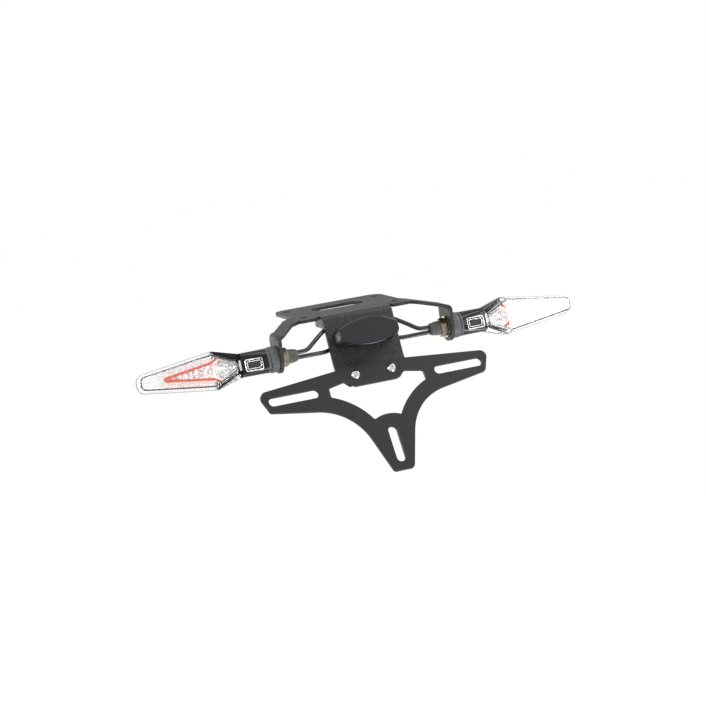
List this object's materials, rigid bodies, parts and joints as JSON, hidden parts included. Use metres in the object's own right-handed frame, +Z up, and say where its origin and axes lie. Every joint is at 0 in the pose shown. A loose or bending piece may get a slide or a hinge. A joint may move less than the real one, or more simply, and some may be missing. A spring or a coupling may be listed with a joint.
{
  "type": "tail tidy",
  "caption": "Folded steel tail tidy that bolts under a motorbike's tail and carries a Y-shaped number-plate carrier, a plate light and swept clear-lens indicators.",
  "frame": {"origin": "upper face of the bracket's top plate, at the centre of its tail-bolt holes", "axes": "+X to the rider's right, +Y forward, +Z up; the number plate faces -Y and tilts up by 30 degrees"},
  "size_m": [0.3642, 0.1353, 0.118],
  "materials": {
    "bracket_coat": "fine-textured black powder coat",
    "carrier_coat": "smooth satin charcoal powder coat",
    "stainless": "bright stainless steel",
    "zinc_plate": "zinc plated and passivated",
    "housing_plastic": "satin moulded black",
    "stalk_plastic": "gloss moulded black",
    "black_rubber": "moulded black rubber",
    "grey_rubber": "moulded grey rubber",
    "clear_lens": "water-clear polycarbonate",
    "metallised": "vacuum-metallised reflector",
    "board": "white solder mask",
    "led": "LED packages",
    "red_guide": "translucent orange-red light guide",
    "trim_chrome": "bright plated trim",
    "lead_jacket": "black cable jacket",
    "plug_plastic": "black moulded nylon"
  },
  "bodies": {
    "root": {"main_bracket": "bracket_coat", "plate_carrier": "carrier_coat", "carrier_bolts": "stainless", "carrier_washers": "stainless", "carrier_nuts": "stainless", "light_housing": "housing_plastic", "light_lens": "clear_lens", "light_board": "board", "light_leds": "led", "light_gasket": "black_rubber", "light_screws": "stainless", "wiring_grommet": "black_rubber", "indicator_collar_left": "black_rubber", "indicator_stud_left": "zinc_plate", "indicator_washer_left": "zinc_plate", "indicator_nut_left": "zinc_plate", "indicator_boot_left": "grey_rubber", "indicator_body_left": "stalk_plastic", "indicator_rear_lens_left": "clear_lens", "indicator_lens_left": "clear_lens", "indicator_reflector_left": "metallised", "indicator_board_left": "board", "indicator_leds_left": "led", "indicator_guide_left": "red_guide", "indicator_trim_left": "trim_chrome", "indicator_badge_left": "stalk_plastic", "turn_lead_left": "lead_jacket", "tail_lead_left": "lead_jacket", "lead_plug_left": "plug_plastic", "plug_cradle_left": "plug_plastic", "indicator_collar_right": "black_rubber", "indicator_stud_right": "zinc_plate", "indicator_washer_right": "zinc_plate", "indicator_nut_right": "zinc_plate", "indicator_boot_right": "grey_rubber", "indicator_body_right": "stalk_plastic", "indicator_rear_lens_right": "clear_lens", "indicator_lens_right": "clear_lens", "indicator_reflector_right": "metallised", "indicator_board_right": "board", "indicator_leds_right": "led", "indicator_guide_right": "red_guide", "indicator_trim_right": "trim_chrome", "indicator_badge_right": "stalk_plastic", "turn_lead_right": "lead_jacket", "tail_lead_right": "lead_jacket", "lead_plug_right": "plug_plastic", "plug_cradle_right": "plug_plastic"}
  },
  "joints": []
}
